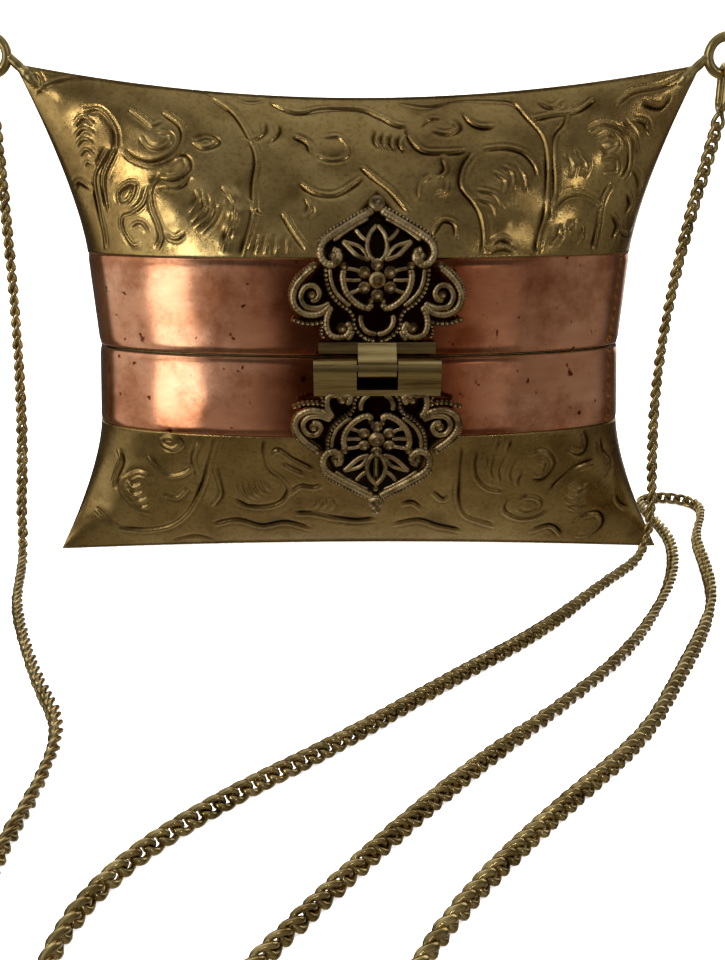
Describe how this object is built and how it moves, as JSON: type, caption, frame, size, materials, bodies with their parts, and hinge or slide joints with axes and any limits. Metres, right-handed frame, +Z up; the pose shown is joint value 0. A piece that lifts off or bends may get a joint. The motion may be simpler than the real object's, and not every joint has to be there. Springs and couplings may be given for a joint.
{
  "type": "metal clutch purse",
  "caption": "Pillow-shaped hinged metal purse in embossed brass with copper bands, a filigree hasp clasp at the front and a long curb chain from its upper corners.",
  "frame": {"origin": "on the table, under the middle of the purse's box without the chain", "axes": "+Z up, -Y out of the clasp side, +X to the viewer's right"},
  "size_m": [0.1813, 0.2022, 0.1197],
  "materials": {
    "embossed_brass": "embossed, darkened in the recesses",
    "copper": "polished copper with tarnish spots",
    "antique_brass": "cast, blackened in the recesses",
    "plain_brass": "plain, satin",
    "chain_brass": "polished, worn",
    "pin_steel": "plain wire",
    "velvet": "short pile"
  },
  "bodies": {
    "upper_half": {"upper_shell": "embossed_brass", "upper_band": "copper", "inner_rim": "plain_brass", "upper_lining": "velvet", "clasp_plate": "antique_brass", "clasp_base": "antique_brass", "clasp_pin": "pin_steel", "clasp_rivets": "antique_brass", "upper_hinge_leaf": "plain_brass", "upper_hinge_rivets": "plain_brass", "hinge_pin": "pin_steel", "left_lug": "plain_brass", "right_lug": "plain_brass", "left_ring": "plain_brass", "right_ring": "plain_brass", "left_link": "chain_brass", "right_link": "chain_brass", "chain": "chain_brass"},
    "lower_half": {"lower_shell": "embossed_brass", "lower_band": "copper", "lower_lining": "velvet", "lower_hinge_leaf": "plain_brass", "lower_hinge_rivets": "plain_brass", "staple": "antique_brass"},
    "hasp": {"hasp_leaf": "antique_brass", "hasp_plate": "antique_brass"}
  },
  "joints": [
    {"name": "rear_hinge", "type": "hinge", "parent": "upper_half", "child": "lower_half", "pos_m": [0, 0.02332, 0.052], "axis": [1, 0, 0], "range_deg": [0, 90]},
    {"name": "hasp_hinge", "type": "hinge", "parent": "upper_half", "child": "hasp", "pos_m": [0.0036, -0.02258, 0.0505], "axis": [-1, 0, 0], "range_deg": [0, 110]}
  ]
}
